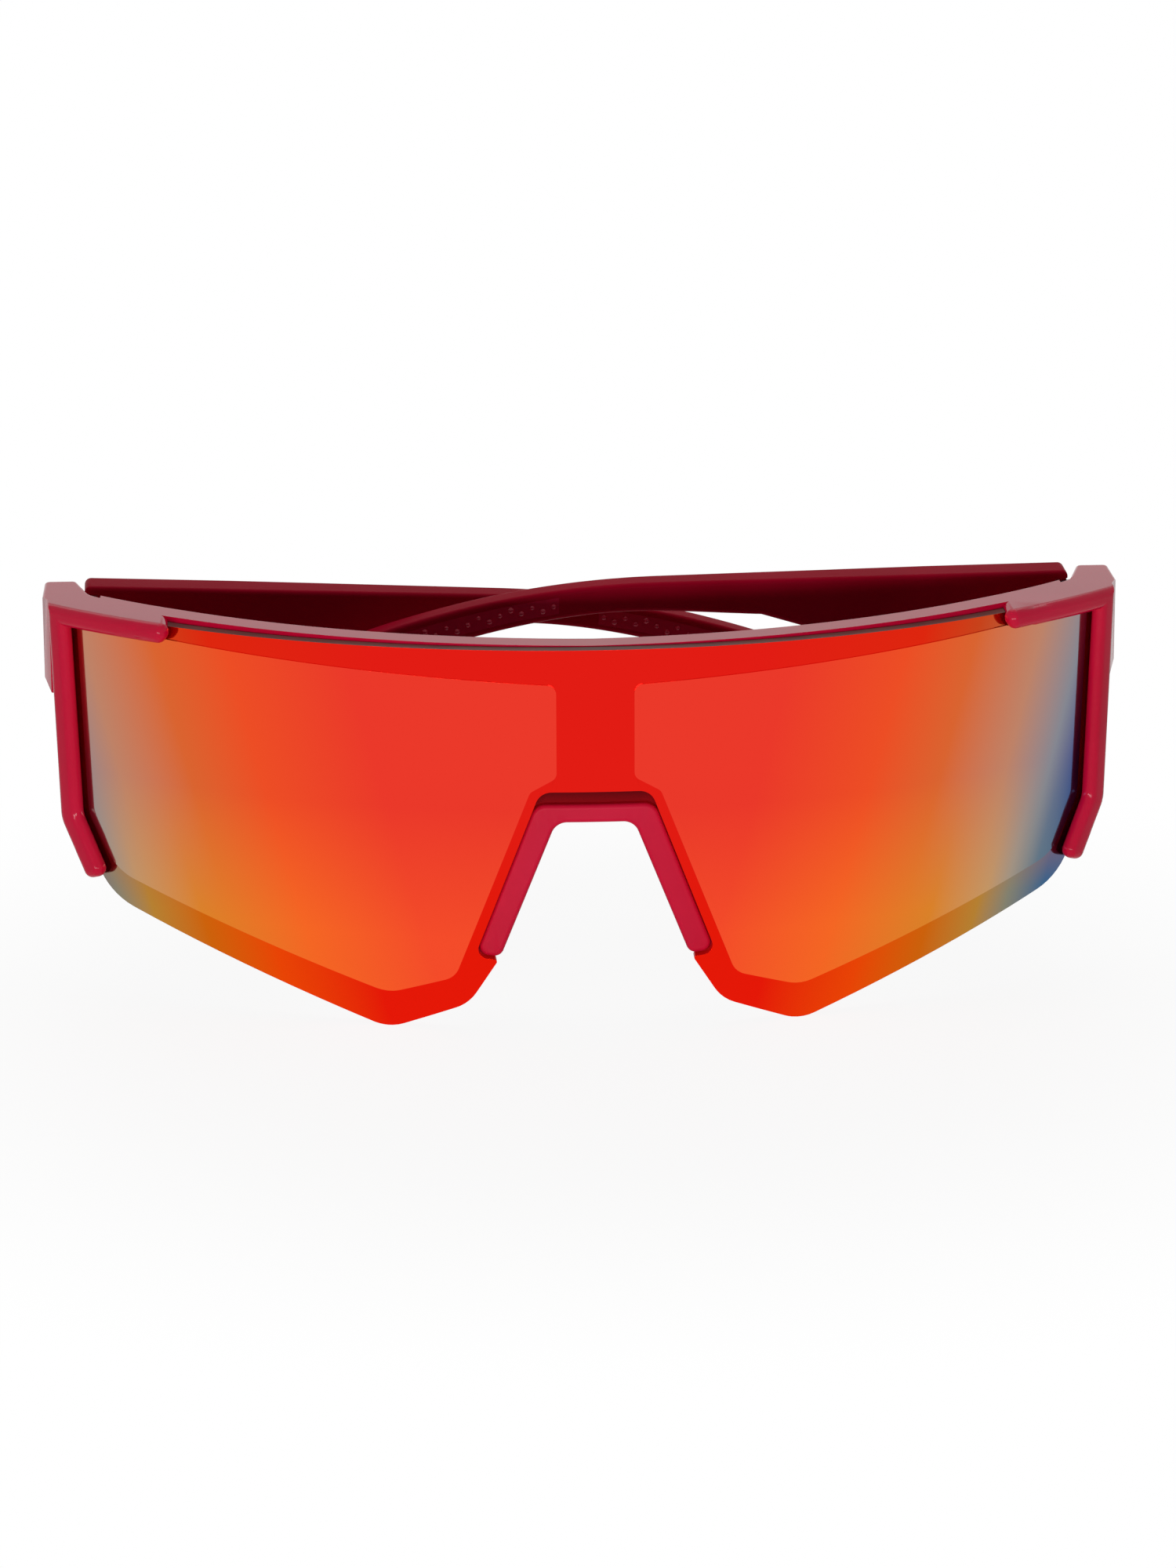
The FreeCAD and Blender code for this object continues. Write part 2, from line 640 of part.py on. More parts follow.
def nose_outline(grow):
    """Corners of the nose arch in the front view; grow widens it beyond the lens cut-out."""
    slope = unit((NOSE_TOP_HALF, NOSE_TOP), (NOSE_FOOT_X, NOSE_FOOT_Z))
    shift = grow / slope[1]
    top = NOSE_ARCH if grow < 0 else NOSE_TOP + grow
    foot = NOSE_FOOT_Z - grow if grow < 0 else NOSE_FOOT_Z - FLANGE_DROP
    inset = 0.0 if grow < 0 else FLANGE_SETBACK
    outer = [
        (nose_edge_x(top) - shift, top, NOSE_TOP_ROUND),
        (nose_edge_x(foot) - shift, foot, NOSE_FOOT_ROUND),
        (nose_edge_x(foot) - NOSE_LEG + NOSE_LEDGE_DROP + inset, foot - NOSE_LEDGE_DROP, NOSE_FOOT_ROUND),
        (nose_edge_x(0.0) - NOSE_LEG + inset, inset, NOSE_TOP_ROUND),
    ]
    return both_sides(outer)


def make_nose_piece():
    """One-piece nose arch: front bead, flange behind the lens and two wings."""
    corners = nose_outline(-NOSE_FIT)
    front = LENS_RADIUS - NOSE_RECESS
    back = SEAT - NOSE_FLANGE_THICKNESS
    bead = prism_y([(x, z, 0.0) for x, z, _ in corners]).common(shell(back, front))
    for corner in corners:
        if corner[2]:
            bead = round_bend(bead, corner)
    bead = round_rim(bead, front, NOSE_ROUND)
    flange = prism_y(nose_outline(NOSE_FLANGE)).common(shell(back, SEAT))
    wing = make_wing()
    arch = bead.fuse(flange)
    return arch.fuse(wing).fuse(mirrored(wing)).removeSplitter()


def make_wing():
    """Left wing of the nose piece, which flares outward to the back."""
    start = tube_y(SEAT - NOSE_FLANGE_THICKNESS / 2, nose_edge_x(WING_TOP))
    foot = NOSE_FOOT_Z + WING_LIFT
    wires = []
    for y, flare in ((start, 0.0), (start + WING_DEPTH, WING_FLARE)):
        inner_top = nose_edge_x(WING_TOP) - NOSE_LEG + FLANGE_SETBACK + flare
        inner_foot = nose_edge_x(foot) - NOSE_LEG + 2 * FLANGE_SETBACK + flare
        top = WING_TOP - flare / 2
        wires.append(Part.makePolygon([
            Vector(inner_top, y, top),
            Vector(inner_top + WING_THICKNESS, y, top),
            Vector(inner_foot + WING_THICKNESS, y, foot),
            Vector(inner_foot, y, foot),
            Vector(inner_top, y, top),
        ]))
    return Part.makeLoft(wires, True, True)


def folded(shape, angle):
    """Left-hand shape turned inward about its hinge."""
    turned = shape.copy()
    turned.rotate(Vector(HINGE_X, HINGE_Y, 0), Vector(0, 0, 1), angle)
    return turned


def sagging(shape):
    """Right-hand shape turned down about the middle of its knuckle, within the play of the pin."""
    turned = shape.copy()
    pivot = Vector(-HINGE_X, HINGE_Y, middle_bottom() + MIDDLE_KNUCKLE / 2)
    turned.rotate(pivot, Vector(0, 1, 0), RIGHT_SAG_DEGREES)
    return turned


def main():
    frame_hinge = make_frame_hinge()
    temple_hinge = make_temple_hinge()
    grip_pad, grip = make_grip()
    temple = make_temple(temple_hinge, grip_pad)
    screw = make_screw()
    shapes = {
        "front_frame": make_frame(frame_hinge),
        "shield_lens": make_lens(),
        "nose_piece": make_nose_piece(),
        "left_frame_hinge": frame_hinge,
        "right_frame_hinge": mirrored(frame_hinge),
        "left_hinge_screw": screw,
        "right_hinge_screw": mirrored(screw),
    }
    for name, shape in (("temple", temple), ("temple_hinge", temple_hinge), ("temple_grip", grip)):
        shapes["left_" + name] = folded(shape, LEFT_FOLD)
        shapes["right_" + name] = sagging(mirrored(folded(shape, RIGHT_FOLD)))
    os.makedirs("parts", exist_ok=True)
    for name, shape in shapes.items():
        shape.exportStep("parts/" + name + ".step")
        box = shape.BoundBox
        print(name, len(shape.Solids), round(shape.Volume, 1), shape.isValid(),
              [round(v, 1) for v in (box.XMin, box.XMax, box.YMin, box.YMax, box.ZMin, box.ZMax)])


main()
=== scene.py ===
# %% [markdown]
# # Folded shield sunglasses
# A pair of sports sunglasses with one wide mirror lens, set down folded on a white table.
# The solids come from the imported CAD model, so nothing here decides how big a piece is.
# This lesson gives each piece a clean skin and its finish, and sets up the picture.
# Lengths are in metres. X points to the wearer's left, Y to the back of the head, Z up.

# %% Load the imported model
import math

import bpy
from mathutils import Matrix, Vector


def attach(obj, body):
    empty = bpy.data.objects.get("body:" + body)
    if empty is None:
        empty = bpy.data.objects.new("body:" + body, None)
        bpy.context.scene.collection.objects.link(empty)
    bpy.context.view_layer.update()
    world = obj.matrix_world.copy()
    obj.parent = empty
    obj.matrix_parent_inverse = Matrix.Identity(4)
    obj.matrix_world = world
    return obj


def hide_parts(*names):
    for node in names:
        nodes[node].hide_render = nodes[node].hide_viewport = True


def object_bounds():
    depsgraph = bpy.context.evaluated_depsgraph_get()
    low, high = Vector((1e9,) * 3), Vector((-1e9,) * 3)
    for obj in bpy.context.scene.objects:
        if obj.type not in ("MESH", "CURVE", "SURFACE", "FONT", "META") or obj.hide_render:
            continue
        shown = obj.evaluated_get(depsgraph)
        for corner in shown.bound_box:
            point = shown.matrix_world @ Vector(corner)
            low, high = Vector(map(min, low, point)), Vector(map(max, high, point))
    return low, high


MM = 0.001


def in_mm(box):
    """Corners of a box in millimetres, rounded for printing."""
    return [[round(value / MM, 2) for value in corner] for corner in box]


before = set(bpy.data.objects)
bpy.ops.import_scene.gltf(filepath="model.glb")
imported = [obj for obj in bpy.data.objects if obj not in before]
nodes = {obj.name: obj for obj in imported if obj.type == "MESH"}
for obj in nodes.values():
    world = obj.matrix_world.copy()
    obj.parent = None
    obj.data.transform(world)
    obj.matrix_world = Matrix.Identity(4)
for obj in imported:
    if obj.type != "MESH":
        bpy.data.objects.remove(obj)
cad_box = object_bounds()
print("CAD nodes:", sorted(nodes))
print("CAD box in mm:", in_mm(cad_box))

# %% [markdown]
# ## The camera
# The picture is taken with a long lens from a little above the glasses, and from a step to
# the viewer's left of their middle. A long lens keeps both ends of the wrap nearly the same
# size. The camera could be turned by a constraint that tracks a point, but three angles say
# more plainly how it looks down, aside and rolls. Blender turns a camera about its own axes,
# so tilting it from straight down to level is a quarter turn, less the angle at which it
# looks down.

# %% Place the camera
LOOK_DOWN = math.radians(15.8)
LOOK_ASIDE = math.radians(3.10)
LOOK_ROLL = math.radians(-0.2)
EYE_DISTANCE = 750.0 * MM
EYE_TARGET = Vector((-0.2, 10.0, 1.4)) * MM
FOCAL_PIXELS = 7030.0
PICTURE_WIDTH = 1500.0
SENSOR_WIDTH = 36.0

gaze = Vector((
    math.sin(LOOK_ASIDE) * math.cos(LOOK_DOWN),
    math.cos(LOOK_ASIDE) * math.cos(LOOK_DOWN),
    -math.sin(LOOK_DOWN),
))
bpy.ops.object.camera_add(
    location=EYE_TARGET - gaze * EYE_DISTANCE,
    rotation=(math.pi / 2 - LOOK_DOWN, 0.0, -LOOK_ASIDE),
)
camera = bpy.context.object
camera.rotation_euler.rotate_axis("Z", LOOK_ROLL)
camera.data.sensor_fit = "HORIZONTAL"
camera.data.sensor_width = SENSOR_WIDTH
camera.data.lens = FOCAL_PIXELS / PICTURE_WIDTH * SENSOR_WIDTH
bpy.context.scene.camera = camera
print("camera lens:", round(camera.data.lens, 1), "mm")

# %% [markdown]
# ## A white studio
# The photo has a plain white ground. A ground can be white in two ways: by more light, which
# would also bleach the glasses, or by showing white to the eye and to mirrors only. The
# second is used: the Light Path node tells which rays come from the camera, from a mirror or
# through a clear piece, and only those see the white. World and floor both need that choice,
# and every finish is a tree of nodes too, so a few helpers come first.

# %% Helpers for node trees
def tree_of(owner):
    """Empty node tree of a material or a world."""
    owner.use_nodes = True
    owner.node_tree.nodes.clear()
    return owner.node_tree


def add_node(tree, kind, **settings):
    """New node with some of its properties and input values set."""
    node = tree.nodes.new(kind)
    for key, value in settings.items():
        if key in node.inputs:
            node.inputs[key].default_value = value
        else:
            setattr(node, key, value)
    return node


def math_node(tree, operation, first, second=None):
    """Math node whose inputs are sockets or plain numbers."""
    node = tree.nodes.new("ShaderNodeMath")
    node.operation = operation
    for place, value in enumerate((first, second)):
        if value is None:
            continue
        if isinstance(value, (int, float)):
            node.inputs[place].default_value = value
        else:
            tree.links.new(value, node.inputs[place])
    return node.outputs[0]


def mix_shaders(tree, factor, first, second):
    """Mix node that goes from the first shader to the second with a factor socket."""
    mix = add_node(tree, "ShaderNodeMixShader")
    tree.links.new(factor, mix.inputs[0])
    tree.links.new(first.outputs[0], mix.inputs[1])
    tree.links.new(second.outputs[0], mix.inputs[2])
    return mix


def seen_directly(tree):
    """Socket that is 1 for rays from the camera, from a mirror or through a clear piece."""
    path = add_node(tree, "ShaderNodeLightPath")
    seen = math_node(tree, "ADD", path.outputs["Is Camera Ray"], path.outputs["Is Glossy Ray"])
    seen = math_node(tree, "ADD", seen, path.outputs["Is Transmission Ray"])
    return math_node(tree, "MINIMUM", seen, 1.0)


print("node helpers are ready")

# %% [markdown]
# The world is the room round the table. A ray that is seen directly finds plain white there.
# Any other ray finds a dim light, which only keeps the shadows from going black.

# %% World
ROOM_LIGHT = 0.1
WHITE = (1.0, 1.0, 1.0, 1.0)

world = bpy.data.worlds.new("white_studio")
bpy.context.scene.world = world
tree = tree_of(world)
output = add_node(tree, "ShaderNodeOutputWorld")
ground = add_node(tree, "ShaderNodeBackground", Color=WHITE, Strength=1.0)
room = add_node(tree, "ShaderNodeBackground", Color=WHITE, Strength=ROOM_LIGHT)
choice = mix_shaders(tree, seen_directly(tree), room, ground)
tree.links.new(choice.outputs[0], output.inputs["Surface"])
print("room light:", ROOM_LIGHT)

# %% [markdown]
# The table is a sheet of white paper, level with the lowest point of the glasses. It could
# be a plain matt sheet, but the lamps would leave it grey beside the ground of the photo. So
# what is seen of it is plain white, and near the glasses a share of it stays a real matt
# surface, which keeps the shadow under them. The share fades with the distance.

# %% Floor
FLOOR_SIZE = 8.0
PAPER_COLOUR = (0.86, 0.86, 0.86, 1.0)
SHADOW_SHARE = 0.09
SHADOW_NEAR = 50.0 * MM
SHADOW_FAR = 140.0 * MM

floor_level = cad_box[0][2]
bpy.ops.object.select_all(action="DESELECT")
bpy.ops.mesh.primitive_plane_add(size=FLOOR_SIZE, location=(0.0, 0.0, floor_level))
floor = bpy.context.object
floor.name = "white_floor"
paper = bpy.data.materials.new("white_paper")
tree = tree_of(paper)
output = add_node(tree, "ShaderNodeOutputMaterial")
matt = add_node(tree, "ShaderNodeBsdfDiffuse", Color=PAPER_COLOUR)
glow = add_node(tree, "ShaderNodeEmission", Color=WHITE, Strength=1.0)
coords = add_node(tree, "ShaderNodeTexCoord").outputs["Object"]
distance = add_node(tree, "ShaderNodeVectorMath", operation="LENGTH")
tree.links.new(coords, distance.inputs[0])
fade = add_node(tree, "ShaderNodeMapRange", interpolation_type="SMOOTHSTEP")
tree.links.new(distance.outputs["Value"], fade.inputs["Value"])
fade.inputs["From Min"].default_value = SHADOW_NEAR
fade.inputs["From Max"].default_value = SHADOW_FAR
fade.inputs["To Min"].default_value = SHADOW_SHARE
fade.inputs["To Max"].default_value = 0.0
seen = mix_shaders(tree, fade.outputs["Result"], glow, matt)
choice = mix_shaders(tree, seen_directly(tree), matt, seen)
tree.links.new(choice.outputs[0], output.inputs["Surface"])
floor.data.materials.append(paper)
print("floor at", round(floor_level / MM, 2), "mm")

# %% [markdown]
# ## Soft lamps
# The fronts of the frame are bright and deep in colour, and its tops are dimmer and pale.
# One large lamp overhead would turn that round. So the main lamp stands in front. It is a
# wide, low strip, level with the glasses, and the brow keeps its light off the inner faces
# of the folded temples, which stay dark. A second lamp hangs above and behind, where it
# reaches the tops only.

# %% Lamps
def soft_lamp(name, place, aim, size, power):
    """Lamp of a (width, height) at a place, turned to face a point."""
    turn = (Vector(aim) - Vector(place)).to_track_quat("-Z", "Y").to_euler()
    bpy.ops.object.light_add(type="AREA", location=place, rotation=turn)
    lamp = bpy.context.object
    lamp.name = name
    lamp.data.shape = "RECTANGLE"
    lamp.data.size, lamp.data.size_y = size
    lamp.data.energy = power
    print(name, "at", place, "of", power, "W")


soft_lamp(
    "front_strip", place=(-0.15, -0.95, 0.03), aim=(0.0, 0.0, 0.0), size=(0.9, 0.18), power=7.6)
soft_lamp(
    "overhead_lamp", place=(0.0, 0.35, 0.8), aim=(0.0, 0.02, 0.0), size=(0.9, 0.9), power=3.6)

# %% [markdown]
# ## Finishes
# Every finish is made of nodes on Object coordinates, which are the metres of the CAD frame,
# so a pattern stays on its piece when the piece moves. A painted image could do the same,
# but it needs an unwrapped skin, and noise does not. The helpers start a material, make
# noise or read a height, and turn it into a colour, a roughness or a bump.

# %% Helpers for finishes
DRIFT_LOW = 0.3
DRIFT_HIGH = 0.7


def linear(red, green, blue):
    """Colour for a socket from screen values of 0 to 255, by the sRGB curve."""
    def one(value):
        share = value / 255.0
        return share / 12.92 if share <= 0.04045 else ((share + 0.055) / 1.055) ** 2.4
    return (one(red), one(green), one(blue), 1.0)


def start_material(name):
    """New material with a Principled shader and Object coordinates."""
    material = bpy.data.materials.new(name)
    tree = tree_of(material)
    output = add_node(tree, "ShaderNodeOutputMaterial")
    shader = add_node(tree, "ShaderNodeBsdfPrincipled")
    tree.links.new(shader.outputs[0], output.inputs["Surface"])
    coords = add_node(tree, "ShaderNodeTexCoord").outputs["Object"]
    return material, tree, shader, coords


def noise_of(tree, coords, scale, detail=2.0):
    """Noise socket, whose scale is in waves a metre."""
    noise = add_node(tree, "ShaderNodeTexNoise", Scale=scale, Detail=detail)
    tree.links.new(coords, noise.inputs["Vector"])
    return noise.outputs["Fac"]


def ramp_of(tree, factor, stops):
    """Colour ramp over (place, colour) stops."""
    ramp = add_node(tree, "ShaderNodeValToRGB")
    tree.links.new(factor, ramp.inputs["Fac"])
    while len(ramp.color_ramp.elements) < len(stops):
        ramp.color_ramp.elements.new(1.0)
    for element, (place, colour) in zip(ramp.color_ramp.elements, stops):
        element.position = place
        element.color = colour
    return ramp.outputs["Color"]


def drift_of(tree, noise, first, second):
    """Colour that drifts with noise from one shade to another."""
    return ramp_of(tree, noise, [(DRIFT_LOW, first), (DRIFT_HIGH, second)])


def range_of(tree, factor, low, high):
    """Socket that turns noise of 0 to 1 into values from low to high."""
    node = add_node(tree, "ShaderNodeMapRange")
    tree.links.new(factor, node.inputs["Value"])
    node.inputs["To Min"].default_value = low
    node.inputs["To Max"].default_value = high
    return node.outputs["Result"]


def split_of(tree, coords):
    """Node that splits a place into X, Y and Z."""
    split = add_node(tree, "ShaderNodeSeparateXYZ")
    tree.links.new(coords, split.inputs[0])
    return split


def height_of(tree, split, start, end):
    """Socket that runs from 0 at one height to 1 at another."""
    node = add_node(tree, "ShaderNodeMapRange")
    tree.links.new(split.outputs["Z"], node.inputs["Value"])
    node.inputs["From Min"].default_value = start
    node.inputs["From Max"].default_value = end
    return node.outputs["Result"]


def bump_of(tree, shader, height, depth):
    """Bump on a shader from a height socket, with its depth in metres."""
    bump = add_node(tree, "ShaderNodeBump", Strength=1.0, Distance=depth)
    tree.links.new(height, bump.inputs["Height"])
    tree.links.new(bump.outputs["Normal"], shader.inputs["Normal"])


print("finish helpers are ready")

# %% [markdown]
# ## Raspberry plastic
# Frame, temples and nose piece are moulded plastic, and the grips are soft rubber. One flat
# colour would look like a drawing. Here the colour drifts a little, and a fine grain breaks
# up the gloss. The four finishes share the recipe: the frame is the smoothest, the temples
# are the darkest, and the nose piece and the grips have a deeper grain.

# %% Moulded plastic
DRIFT_SCALE = 70.0
GRAIN_SCALE = 2600.0
GRAIN_DETAIL = 3.0
SHALLOW_GRAIN = 0.001 * MM
DEEP_GRAIN = 0.002 * MM


def moulded_plastic(name, deep, bright, gloss, grain_depth, skin_index):
    """Plastic with a (least, most) roughness; skin_index says how much its skin mirrors."""
    material, tree, shader, coords = start_material(name)
    drift = noise_of(tree, coords, DRIFT_SCALE)
    tree.links.new(drift_of(tree, drift, deep, bright), shader.inputs["Base Color"])
    grain = noise_of(tree, coords, GRAIN_SCALE, GRAIN_DETAIL)
    tree.links.new(range_of(tree, grain, *gloss), shader.inputs["Roughness"])
    bump_of(tree, shader, grain, grain_depth)
    shader.inputs["IOR"].default_value = skin_index
    print(name, "with a roughness of", gloss)
    return material


frame_plastic = moulded_plastic(
    "raspberry_frame_plastic", deep=linear(193, 3, 48), bright=linear(202, 8, 56),
    gloss=(0.1, 0.18), grain_depth=SHALLOW_GRAIN, skin_index=1.23)
temple_plastic = moulded_plastic(
    "raspberry_temple_plastic", deep=linear(164, 4, 36), bright=linear(174, 8, 42),
    gloss=(0.3, 0.4), grain_depth=SHALLOW_GRAIN, skin_index=1.06)
nose_plastic = moulded_plastic(
    "soft_nose_plastic", deep=linear(198, 14, 50), bright=linear(208, 22, 60),
    gloss=(0.4, 0.5), grain_depth=DEEP_GRAIN, skin_index=1.2)
# The grips are raspberry rubber, set a little lighter than the temples: partly painted sheen, for
# the gloss that makes them look paler.
grip_rubber = moulded_plastic(
    "raspberry_grip_rubber", deep=linear(186, 8, 52), bright=linear(196, 14, 60),
    gloss=(0.2, 0.3), grain_depth=DEEP_GRAIN, skin_index=1.32)

# %% [markdown]
# The nose arch lies deeper than the lens. Above it a narrow recess shows the flange behind
# the lens, and little light gets in there, least at its top. The lamps alone leave it too
# light, so the flange gets painted shade: a finish of its own whose colour darkens with the
# height.

# %% Painted shade on the flange of the nose piece
RECESS_LOW = 2.0 * MM
RECESS_HIGH = 4.6 * MM
RECESS_SHADE_LIGHT = linear(150, 6, 18)
RECESS_SHADE_DARK = linear(62, 0, 6)
RECESS_GLOSS = (0.4, 0.5)
RECESS_SKIN_INDEX = 1.1

# Painted shade: the red of the flange goes darker towards the top of the recess.
recess_painted_shade, tree, shader, coords = start_material("nose_recess_painted_shade")
height = height_of(tree, split_of(tree, coords), RECESS_LOW, RECESS_HIGH)
shade = ramp_of(tree, height, [(0.0, RECESS_SHADE_LIGHT), (1.0, RECESS_SHADE_DARK)])
tree.links.new(shade, shader.inputs["Base Color"])
grain = noise_of(tree, coords, GRAIN_SCALE)
tree.links.new(range_of(tree, grain, *RECESS_GLOSS), shader.inputs["Roughness"])
shader.inputs["IOR"].default_value = RECESS_SKIN_INDEX
print("recess finish:", recess_painted_shade.name)

# %% [markdown]
# ## Steel
# The hinge leaves are rolled and the screws are turned, so both carry fine lines. They could
# be a wave pattern, but its lines are too even. Noise that is stretched along X and Y and
# left fine along Z gives uneven lines, which run round the barrel. The hinge parts are small
# and mostly hidden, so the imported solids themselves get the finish.

# %% Brushed steel
LINE_STRETCH = (0.08, 0.08, 1.0)
LINE_DETAIL = 4.0
LINE_DARK_AT = 0.35
LINE_LIGHT_AT = 0.65
LINE_DEPTH = 0.003 * MM
STEEL_GLOSS = (0.22, 0.42)


def brushed_steel(name, dark, light, line_scale):
    """Steel with fine lines across Z."""
    material, tree, shader, coords = start_material(name)
    stretch = add_node(tree, "ShaderNodeMapping", Scale=LINE_STRETCH)
    tree.links.new(coords, stretch.inputs["Vector"])
    lines = noise_of(tree, stretch.outputs["Vector"], line_scale, LINE_DETAIL)
    colour = ramp_of(tree, lines, [(LINE_DARK_AT, dark), (LINE_LIGHT_AT, light)])
    tree.links.new(colour, shader.inputs["Base Color"])
    tree.links.new(range_of(tree, lines, *STEEL_GLOSS), shader.inputs["Roughness"])
    bump_of(tree, shader, lines, LINE_DEPTH)
    shader.inputs["Metallic"].default_value = 1.0
    return material


hinge_steel = brushed_steel(
    "rolled_hinge_steel", dark=linear(158, 158, 162), light=linear(190, 190, 194),
    line_scale=9000.0)
screw_steel = brushed_steel(
    "turned_screw_steel", dark=linear(146, 146, 152), light=linear(182, 182, 188),
    line_scale=14000.0)
for side in ("left", "right"):
    for part, steel in (
        ("frame_hinge", hinge_steel), ("temple_hinge", hinge_steel), ("hinge_screw", screw_steel),
    ):
        hardware = nodes[f"{side}_{part}"]
        hardware.data.materials.clear()
        hardware.data.materials.append(steel)
        print(steel.name, "on", hardware.name)

# %% [markdown]
# ## The mirror coat
# A mirror coat is a stack of very thin layers, and its colour depends on how thick they are
# and on the angle at which they are seen. It is red in the middle of the lens and runs
# through orange and tan to grey and blue at the sides of the wrap. A shader could work this
# out from the angle of view, but then the bands would slide over the lens when the camera
# moves. So the colour is painted along the width of the lens. The bands lean: low down the
# outer colours reach further in and are yellower. There are two runs of colour, one for the
# upper part and one for the lower part, and the height mixes them. The eye panels look
# lighter than the border, so they have runs of their own.

# %% Mirror coat
COAT_HALF = 72.0 * MM
COAT_MIDDLE = 3.2 * MM
COAT_LEAN = 0.27
LOW_FROM = 2.0 * MM
LOW_FULL = -16.0 * MM
HAZE_SCALE = 40.0
COAT_GLOSS = (0.05, 0.1)


def coat_place(tree, split):
    """Socket that runs from 0 in the middle of the lens to 1 at either side."""
    aside = math_node(tree, "ABSOLUTE", math_node(tree, "ADD", split.outputs["X"], COAT_MIDDLE))
    lean = math_node(tree, "MULTIPLY", split.outputs["Z"], COAT_LEAN)
    return math_node(tree, "DIVIDE", math_node(tree, "SUBTRACT", aside, lean), COAT_HALF)


def coat_run(tree, place, stops):
    """Colour ramp from (millimetres from the middle, screen colour) stops."""
    return ramp_of(tree, place, [(at * MM / COAT_HALF, linear(*colour)) for at, colour in stops])


def mirror_coat(name, high_stops, low_stops):
    """Coloured mirror that changes from one run of colours to another down the lens."""
    material, tree, shader, coords = start_material(name)
    split = split_of(tree, coords)
    place = coat_place(tree, split)
    mix = add_node(tree, "ShaderNodeMix", data_type="RGBA")
    factor, first, second = (socket for socket in mix.inputs if socket.enabled)
    tree.links.new(height_of(tree, split, LOW_FROM, LOW_FULL), factor)
    tree.links.new(coat_run(tree, place, high_stops), first)
    tree.links.new(coat_run(tree, place, low_stops), second)
    mixed = next(socket for socket in mix.outputs if socket.enabled)
    tree.links.new(mixed, shader.inputs["Base Color"])
    haze = noise_of(tree, coords, HAZE_SCALE)
    tree.links.new(range_of(tree, haze, *COAT_GLOSS), shader.inputs["Roughness"])
    shader.inputs["Metallic"].default_value = 1.0
    print(name, "of", len(high_stops), "upper and", len(low_stops), "lower colours")
    return material


# The lower runs are partly the real, yellower coat and partly painted light: they are set a
# little lighter to make up for the shaded paper near the glasses, which the mirror shows low
# down.
border_coat = mirror_coat("mirror_coat_border", high_stops=[
    (20.0, (226, 28, 20)),
    (42.0, (222, 38, 14)),
    (50.0, (200, 66, 26)),
    (58.0, (180, 100, 60)),
], low_stops=[
    (32.0, (234, 25, 8)),
    (45.0, (238, 70, 6)),
    (54.0, (208, 100, 12)),
    (61.0, (184, 130, 50)),
    (65.5, (132, 130, 112)),
    (71.0, (55, 97, 137)),
])
panel_coat = mirror_coat("mirror_coat_panel", high_stops=[
    (24.0, (235, 57, 42)),
    (40.0, (237, 78, 37)),
    (50.0, (218, 100, 48)),
    (60.0, (190, 130, 103)),
    (67.0, (132, 134, 144)),
    (71.5, (40, 60, 130)),
], low_stops=[
    (24.0, (250, 78, 43)),
    (40.0, (250, 105, 37)),
    (54.0, (222, 132, 42)),
    (62.0, (198, 152, 100)),
    (65.0, (164, 150, 130)),
    (69.0, (92, 118, 132)),
])

# %% [markdown]
# The plastic under the coat is tinted, and it shows at the back of the lens and at its rim.
# A see-through shader would need many bounces in so thin a sheet, so an opaque skin stands
# for it. Light that enters the face of the lens runs along the sheet and leaves at the cut
# edge, and an opaque skin passes none of it. So the lower rim gets painted light instead: a
# red that stands for the light coming through the coat, and a little painted glow, also in
# narrow gaps.

# %% Back and rims of the lens
CLOUD_SCALE = 120.0


def tinted_plastic(name, dark, light, gloss, skin_index, glow=0.0):
    """Tinted plastic without a coat; glow is a painted glow for light that leaves at a cut edge.
    """
    material, tree, shader, coords = start_material(name)
    cloud = noise_of(tree, coords, CLOUD_SCALE)
    tree.links.new(drift_of(tree, cloud, dark, light), shader.inputs["Base Color"])
    tree.links.new(range_of(tree, cloud, *gloss), shader.inputs["Roughness"])
    shader.inputs["IOR"].default_value = skin_index
    shader.inputs["Emission Color"].default_value = light
    shader.inputs["Emission Strength"].default_value = glow
    print(name, "with a glow of", glow)
    return material


lens_back = tinted_plastic(
    "smoke_lens_back", dark=linear(44, 38, 40), light=linear(54, 46, 48),
    gloss=(0.25, 0.35), skin_index=1.3)
top_rim = tinted_plastic(
    "polished_top_rim", dark=linear(108, 66, 64), light=linear(124, 80, 74),
    gloss=(0.2, 0.3), skin_index=1.06)
# Painted light: the red of the lower rim stands for light through the coat, and its emission is a
# painted glow.
lower_rim_painted_light = tinted_plastic(
    "polished_lower_rim", dark=linear(176, 10, 10), light=linear(192, 14, 14),
    gloss=(0.14, 0.24), skin_index=1.12, glow=0.3)

# %% [markdown]
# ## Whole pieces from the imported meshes
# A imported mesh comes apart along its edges, because each CAD face brings its own points and
# its own shading. A copy is welded into one closed skin instead. Where two faces of a fillet
# end in a tear of a few micrometres, the tear is collapsed to a point, so the piece has no
# stray faces. Then the shading is made anew: smooth over fillets, sharp at real corners, and
# weighted by area, which keeps the large flat faces flat to the eye.

# %% Helpers for pieces
WELD = 0.0001 * MM
SHARP_ANGLE = math.radians(35.0)
AREA_WEIGHT = 60


def alone(piece):
    """Select one object only."""
    bpy.ops.object.select_all(action="DESELECT")
    piece.select_set(True)
    bpy.context.view_layer.objects.active = piece


def finish_with(piece, kind, **settings):
    """Add a modifier and apply it."""
    modifier = piece.modifiers.new(kind.lower(), kind)
    for key, value in settings.items():
        setattr(modifier, key, value)
    alone(piece)
    bpy.ops.object.modifier_apply(modifier=modifier.name)


